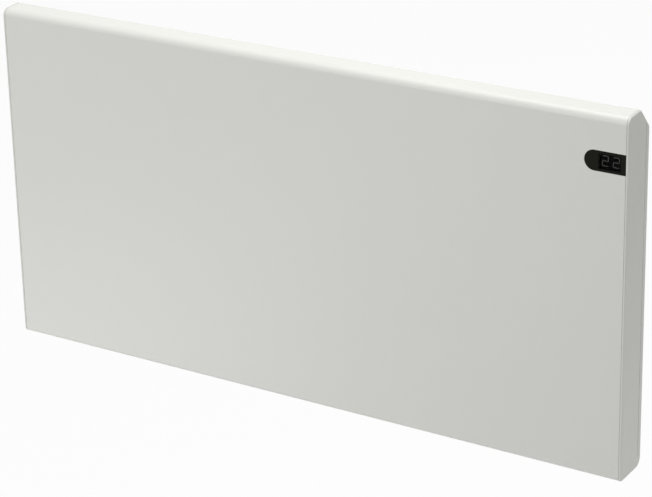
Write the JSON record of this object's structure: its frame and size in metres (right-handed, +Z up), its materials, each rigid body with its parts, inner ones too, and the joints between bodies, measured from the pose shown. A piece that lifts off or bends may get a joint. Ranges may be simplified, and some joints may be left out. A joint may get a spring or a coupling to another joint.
{
  "type": "wall panel convector heater",
  "caption": "Flat wall-hung electric panel convector with a lift-off hook bracket, folded casing, rear top outlet slope, touch display window and a rocker switch underneath.",
  "frame": {"origin": "centre of the wall bracket's four screw slots, on the wall plane", "axes": "+X along the heater towards the display end, +Y into the wall, +Z up"},
  "size_m": [0.72, 0.08, 0.3726],
  "materials": {
    "casing_paint": "satin powder coat, warm light grey",
    "cap_plastic": "fine-grained moulded plastic, one shade greyer than the panel",
    "smoked_lens": "polished smoked plastic",
    "display_black": "black moulded plastic",
    "digit_white": "diffuser segments, dim behind the lens",
    "spring_steel": "bare spring steel",
    "board_green": "solder-resist green laminate",
    "tray_plastic": "flame-retardant moulded plastic",
    "relay_plastic": "blue relay case",
    "transformer_core": "varnished laminations",
    "capacitor_case": "yellow film-capacitor case",
    "terminal_plastic": "dark grey polyamide",
    "ribbon_grey": "flat ribbon insulation",
    "zinc_steel": "bright zinc plate",
    "sheath_steel": "heat-toned stainless sheath",
    "fin_aluminium": "extruded aluminium, mill finish",
    "bush_ceramic": "unglazed steatite ceramic",
    "galvanised": "galvanised sheet",
    "lead_silicone": "white silicone insulation",
    "clip_nylon": "natural nylon",
    "sensor_epoxy": "black epoxy bead",
    "grommet_rubber": "black rubber",
    "tab_brass": "bright brass",
    "switch_black": "black moulded nylon",
    "bracket_paint": "powder-coated steel, light grey"
  },
  "bodies": {
    "wall_bracket": {"bracket_leg_left": "bracket_paint", "bracket_leg_right": "bracket_paint", "crossbar_lower": "bracket_paint", "crossbar_upper": "bracket_paint", "bracket_springs": "spring_steel"},
    "heater": {"front_panel": "casing_paint", "rear_panel": "casing_paint", "end_cap_left": "cap_plastic", "end_cap_right": "cap_plastic", "display_window": "smoked_lens", "display_carrier": "display_black", "led_module": "display_black", "digit_segments": "digit_white", "touch_springs": "spring_steel", "control_board": "board_green", "power_board": "board_green", "board_tray": "tray_plastic", "power_relay": "relay_plastic", "supply_transformer": "transformer_core", "filter_capacitor": "capacitor_case", "terminal_block": "terminal_plastic", "ribbon_cable": "ribbon_grey", "end_cap_screws": "zinc_steel", "underside_screws": "zinc_steel", "element_core": "sheath_steel", "element_fins": "fin_aluminium", "element_bushes": "bush_ceramic", "element_support_left": "galvanised", "element_support_right": "galvanised", "front_baffle": "galvanised", "heat_shield": "galvanised", "thermal_cutout": "zinc_steel", "element_leads": "lead_silicone", "lead_clips": "clip_nylon", "sensor_holder": "tray_plastic", "room_sensor": "sensor_epoxy", "cable_grommet": "grommet_rubber", "earth_tab": "tab_brass", "switch_housing": "switch_black", "switch_tags": "tab_brass"},
    "rocker": {"power_rocker": "switch_black"}
  },
  "joints": [
    {"name": "unhook_lift", "type": "slide", "parent": "wall_bracket", "child": "heater", "axis": [0, 0, 1], "range_m": [0, 0.012], "deforming": ["bracket_springs"]},
    {"name": "rocker_tilt", "type": "hinge", "parent": "heater", "child": "rocker", "pos_m": [0.2952, -0.0554, -0.1866], "axis": [0, 1, 0], "range_deg": [0, 18]}
  ]
}
